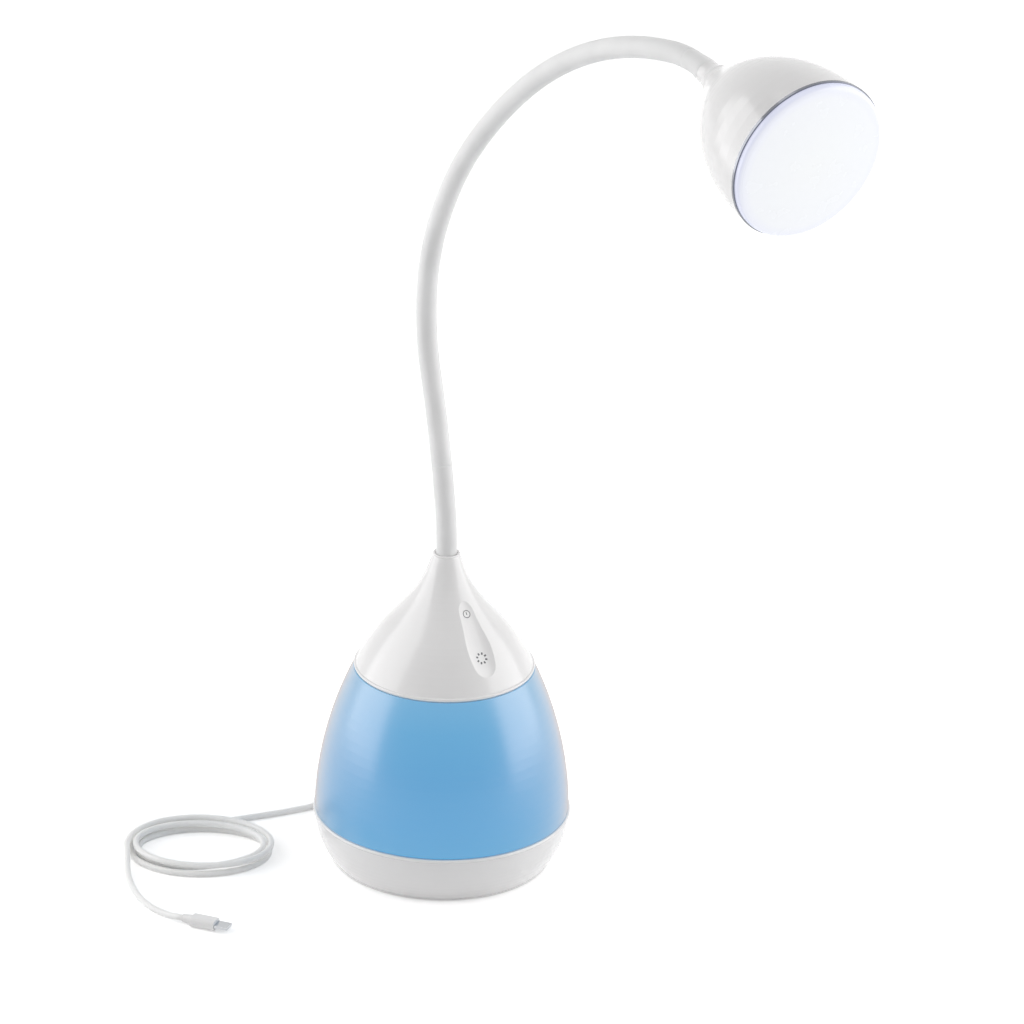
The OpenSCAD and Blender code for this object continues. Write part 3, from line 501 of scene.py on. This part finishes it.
LIP_R = 0.9
LIP_AROUND, LIP_SIDES = 180, 12
COVER_LIP_AT = (41.95, 99.65)  # radius and height of its middle
RING_LIP_AT = (60.4, 24.8)


def lip(name, at):
    """A closed round bead about the lamp's axis."""
    verts, faces = [], []
    for i in range(LIP_AROUND):
        a = 2 * math.pi * i / LIP_AROUND
        here, there = i * LIP_SIDES, (i + 1) % LIP_AROUND * LIP_SIDES
        for k in range(LIP_SIDES):
            b = 2 * math.pi * k / LIP_SIDES
            r, z = at[0] + LIP_R * math.cos(b), at[1] + LIP_R * math.sin(b)
            verts.append(Vector((r * math.cos(a), r * math.sin(a), z)) * MM)
            n = (k + 1) % LIP_SIDES
            faces.append((here + k, there + k, there + n, here + n))
    obj = link_mesh(name, verts, faces)
    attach(obj, "root")
    dress(obj, "gloss_white")


lip("cover_lip", COVER_LIP_AT)
lip("ring_lip", RING_LIP_AT)

# --- Touch signs in the groove -------------------------------------------------------------------

WAIST_R, WAIST_Z = 27.4, 122.4
WAIST_SLOPE = math.radians(42.5)
GROOVE_DEPTH = 1.3
GROOVE_CUT_R = 22.0
GROOVE_LEN = 27.0  # its straight stretch; both its ends are round
GROOVE_TILT = math.radians(4.5)  # how much steeper than the slope it stands
SIGN_LIFT = 0.04
POWER_AT, SUN_AT = 13.3, -8.8  # along the slope from the waist
POWER_R, POWER_LINE, POWER_SIDES = 1.75, 0.35, 48
BAR_FROM, BAR_TO, BAR_LINE = -0.4, 0.9, 0.4
SUN_RAYS = 8
RAY_FROM, RAY_TO, RAY_LINE = 1.8, 2.9, 0.8
sign_ink = plain_plastic("sign_ink", srgb(104, 106, 110), 0.6)


def on_groove(along, across):
    """A point on the groove's floor: along the groove upward, and across it to +X."""
    past = max(0.0, abs(along) - GROOVE_LEN / 2)
    rise = GROOVE_CUT_R - math.sqrt(GROOVE_CUT_R ** 2 - past ** 2 - across ** 2) + SIGN_LIFT
    up = along * math.cos(GROOVE_TILT) - rise * math.sin(GROOVE_TILT)
    out = along * math.sin(GROOVE_TILT) + rise * math.cos(GROOVE_TILT) - GROOVE_DEPTH
    y = -WAIST_R - out * math.cos(WAIST_SLOPE) + up * math.sin(WAIST_SLOPE)
    z = WAIST_Z + out * math.sin(WAIST_SLOPE) + up * math.cos(WAIST_SLOPE)
    return Vector((across, y, z)) * MM


def stroke(name, points, width):
    """A flat printed line on the groove's floor through (along, across) points."""
    verts, faces = [], []
    for i, (a, c) in enumerate(points):
        before, after = points[max(i - 1, 0)], points[min(i + 1, len(points) - 1)]
        da, dc = after[0] - before[0], after[1] - before[1]
        size = math.hypot(da, dc) or 1.0
        na, nc = -dc / size * width / 2, da / size * width / 2
        verts += [on_groove(a + na, c + nc), on_groove(a - na, c - nc)]
    for i in range(len(points) - 1):
        faces.append((2 * i, 2 * i + 1, 2 * i + 3, 2 * i + 2))
    obj = link_mesh(name, verts, faces)
    obj.data.materials.append(sign_ink)
    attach(obj, "root")


def polar(centre, radius, turn):
    """The (along, across) point at a radius from a sign's centre, this part of a turn round it."""
    a = 2 * math.pi * turn
    return (centre + radius * math.cos(a), radius * math.sin(a))


stroke("power_sign_ring",
       [polar(POWER_AT, POWER_R, i / POWER_SIDES) for i in range(POWER_SIDES + 1)], POWER_LINE)
stroke("power_sign_bar", [(POWER_AT + BAR_FROM, 0), (POWER_AT + BAR_TO, 0)], BAR_LINE)
for i in range(SUN_RAYS):
    ray = [polar(SUN_AT, r, (i + 0.5) / SUN_RAYS) for r in (RAY_FROM, RAY_TO)]
    stroke("sun_sign_ray_%d" % (i + 1), ray, RAY_LINE)

# --- Floor, backdrop and lights ------------------------------------------------------------------

FLOOR_HALF = 6.0  # half its width
FLOOR_WHITE = 0.93
LIFT_NEAR, LIFT_FAR = 0.38, 0.9  # the floor's own light, which keeps it white where the lamps fade
LIFT_FROM, LIFT_TO = 0.12, 2.0  # distances from the lamp's axis
ROOM_LIGHT, ROOM_SEEN = 0.36, 1.0  # the world's strength as a light, and as it is seen
AIM = Vector((0, 0, 0.2))  # where the lamps point


def joined(tree, operation, first, second):
    """Two numbers joined by a math operation."""
    made = tree.nodes.new("ShaderNodeMath")
    made.operation = operation
    tree.links.new(first, made.inputs[0])
    tree.links.new(second, made.inputs[1])
    return made.outputs[0]


def seen_directly(tree):
    """1 for camera, glossy and transmission rays, 0 for the rays that carry light to the object."""
    rays = tree.nodes.new("ShaderNodeLightPath").outputs
    shiny = joined(tree, "MAXIMUM", rays["Is Camera Ray"], rays["Is Glossy Ray"])
    return joined(tree, "MAXIMUM", shiny, rays["Is Transmission Ray"])


def studio_white():
    """A white floor: it keeps the lamp's shadow, and looks white to the camera further away."""
    material = bpy.data.materials.new("studio_floor")
    material.use_nodes = True
    tree = material.node_tree
    bsdf = tree.nodes["Principled BSDF"]
    bsdf.inputs["Base Color"].default_value = (FLOOR_WHITE, FLOOR_WHITE, FLOOR_WHITE, 1)
    bsdf.inputs["Roughness"].default_value = 0.9
    bsdf.inputs["Emission Color"].default_value = (1, 1, 1, 1)
    length = tree.nodes.new("ShaderNodeVectorMath")
    length.operation = "LENGTH"
    tree.links.new(tree.nodes.new("ShaderNodeTexCoord").outputs["Object"], length.inputs[0])
    lift = map_range(tree, length.outputs["Value"], LIFT_NEAR, LIFT_FAR, LIFT_FROM, LIFT_TO)
    strength = joined(tree, "MULTIPLY", lift, seen_directly(tree))
    tree.links.new(strength, bsdf.inputs["Emission Strength"])
    return material


def make_floor():
    corners = ((-1, -1), (1, -1), (1, 1), (-1, 1))
    verts = [Vector((x * FLOOR_HALF, y * FLOOR_HALF, 0)) for x, y in corners]
    floor = link_mesh("floor", verts, [(0, 1, 2, 3)])
    floor.data.materials.append(studio_white())


def softbox(name, azimuth, distance, height, width, tall, brightness):
    """An area lamp; azimuth is in degrees to the right of the camera, seen from the lamp's base."""
    light = bpy.data.lights.new(name, "AREA")
    light.shape = "RECTANGLE"
    light.size, light.size_y = width, tall
    light.energy = brightness * math.pi * width * tall
    obj = bpy.data.objects.new(name, light)
    scene.collection.objects.link(obj)
    a = FRONT_TURN - math.radians(azimuth)
    obj.location = (-math.sin(a) * distance, -math.cos(a) * distance, height)
    obj.rotation_mode = "QUATERNION"
    obj.rotation_quaternion = (AIM - obj.location).to_track_quat("-Z", "Y")


def make_world():
    world = bpy.data.worlds.new("studio")
    scene.world = world
    world.use_nodes = True
    tree = world.node_tree
    background = tree.nodes["Background"]
    background.inputs["Color"].default_value = (1, 1, 1, 1)
    strength = map_range(tree, seen_directly(tree), ROOM_LIGHT, ROOM_SEEN)
    tree.links.new(strength, background.inputs["Strength"])


make_floor()
for side, azimuth in (("left", -90), ("right", 90)):
    softbox("softbox_" + side, azimuth, distance=0.95, height=0.55, width=1.0, tall=1.3,
            brightness=1.75)
softbox("softbox_top", 0, distance=0.1, height=1.4, width=0.8, tall=0.8, brightness=0.7)
make_world()
scene.view_settings.view_transform = "Standard"
